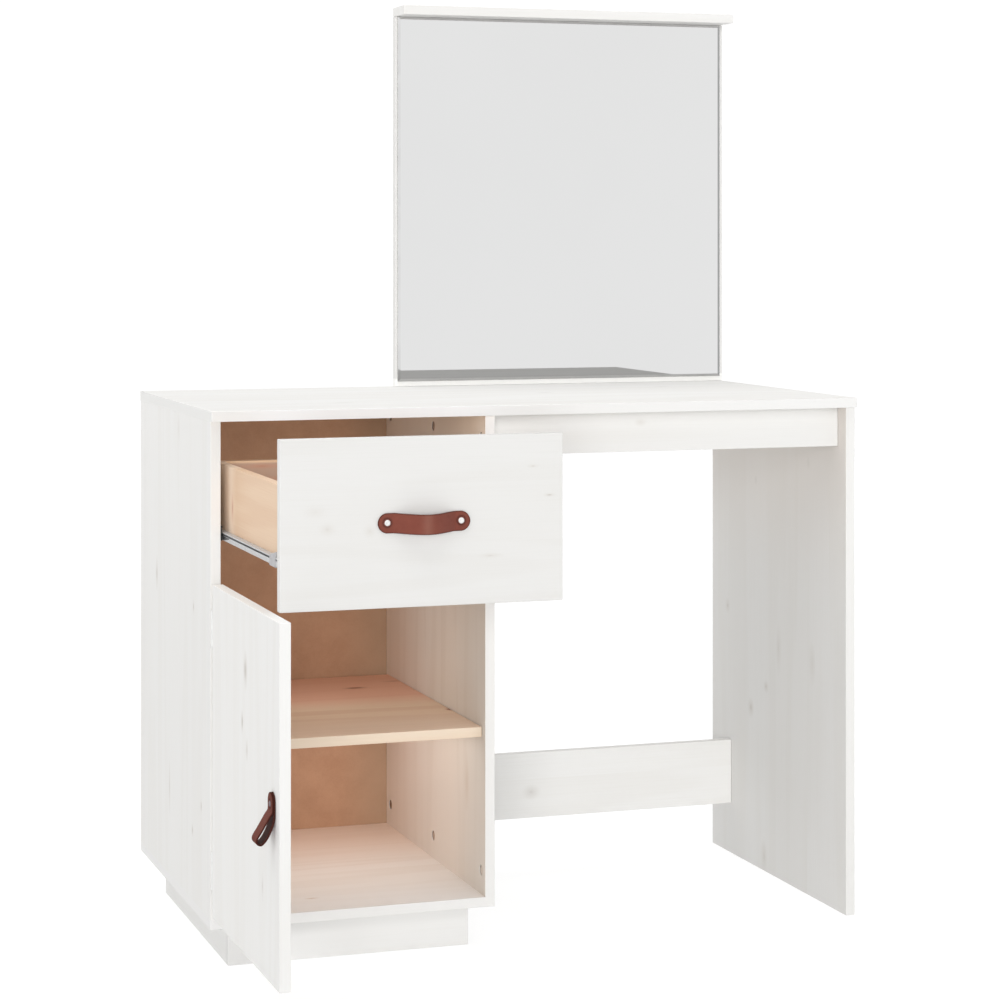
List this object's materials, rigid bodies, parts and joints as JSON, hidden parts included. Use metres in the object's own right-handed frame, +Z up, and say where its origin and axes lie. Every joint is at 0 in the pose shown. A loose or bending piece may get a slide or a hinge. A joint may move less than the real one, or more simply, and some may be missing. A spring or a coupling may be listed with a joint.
{
  "type": "dressing table with mirror",
  "caption": "White-stained pine dressing table: cabinet with a drawer, door and shelf at the left, open kneehole at the right, and an upright mirror under a narrow cap.",
  "frame": {"origin": "on the floor, at the middle of the bounding box with the drawer pulled out and the door open", "axes": "+X to the right and +Y to the back as seen from the front, +Z up"},
  "size_m": [0.973, 0.8774, 1.3395],
  "materials": {
    "white_pine": "white stain over pine, faint grain and knots",
    "bare_pine": "clear matt lacquer on pine",
    "hardboard": "smooth thin board with a brown face",
    "leather": "reddish brown, burnished edges",
    "steel": "zinc plated",
    "cam_metal": "dull die casting",
    "white_screw": "white enamelled head",
    "mirror": "silvered glass with a bevelled rim"
  },
  "bodies": {
    "carcass": {"apron_rail": "white_pine", "cabinet_back_panel": "hardboard", "cabinet_bottom_board": "white_pine", "cabinet_rail_left": "steel", "cabinet_rail_right": "steel", "cam_left_high_back": "cam_metal", "cam_left_high_front": "cam_metal", "cam_left_high_middle": "cam_metal", "cam_left_low_back": "cam_metal", "cam_left_low_front": "cam_metal", "cam_left_low_middle": "cam_metal", "cam_right_high_back": "cam_metal", "cam_right_high_front": "cam_metal", "cam_right_high_middle": "cam_metal", "cam_right_low_back": "cam_metal", "cam_right_low_front": "cam_metal", "cam_right_low_middle": "cam_metal", "hinge_lower_panel_leaf": "steel", "hinge_lower_pin": "steel", "hinge_upper_panel_leaf": "steel", "hinge_upper_pin": "steel", "left_side_panel": "white_pine", "mirror_back_board": "white_pine", "mirror_cap": "white_pine", "mirror_glass": "mirror", "mirror_plate_left": "steel", "mirror_plate_right": "steel", "partition_panel": "white_pine", "plinth_back": "white_pine", "plinth_front": "white_pine", "plinth_left": "white_pine", "plinth_right": "white_pine", "right_side_panel": "white_pine", "shelf": "bare_pine", "shelf_pin_left_back": "steel", "shelf_pin_left_front": "steel", "shelf_pin_right_back": "steel", "shelf_pin_right_front": "steel", "stretcher_rail": "white_pine", "table_top": "white_pine"},
    "drawer": {"drawer_back": "bare_pine", "drawer_channel_left": "steel", "drawer_channel_right": "steel", "drawer_floor": "bare_pine", "drawer_front": "white_pine", "drawer_pull": "leather", "drawer_pull_screw_left": "white_screw", "drawer_pull_screw_right": "white_screw", "drawer_side_left": "bare_pine", "drawer_side_right": "bare_pine"},
    "door": {"door_panel": "white_pine", "door_pull": "leather", "door_pull_screw": "white_screw", "hinge_lower_door_leaf": "steel", "hinge_upper_door_leaf": "steel"}
  },
  "joints": [
    {"name": "drawer_slide", "type": "slide", "parent": "carcass", "child": "drawer", "axis": [0, -1, 0], "range_m": [-0.31, 0.04]},
    {"name": "door_hinge", "type": "hinge", "parent": "carcass", "child": "door", "pos_m": [-0.4605, -0.05665, 0.2985], "axis": [0, 0, 1], "range_deg": [-20, 90]}
  ]
}
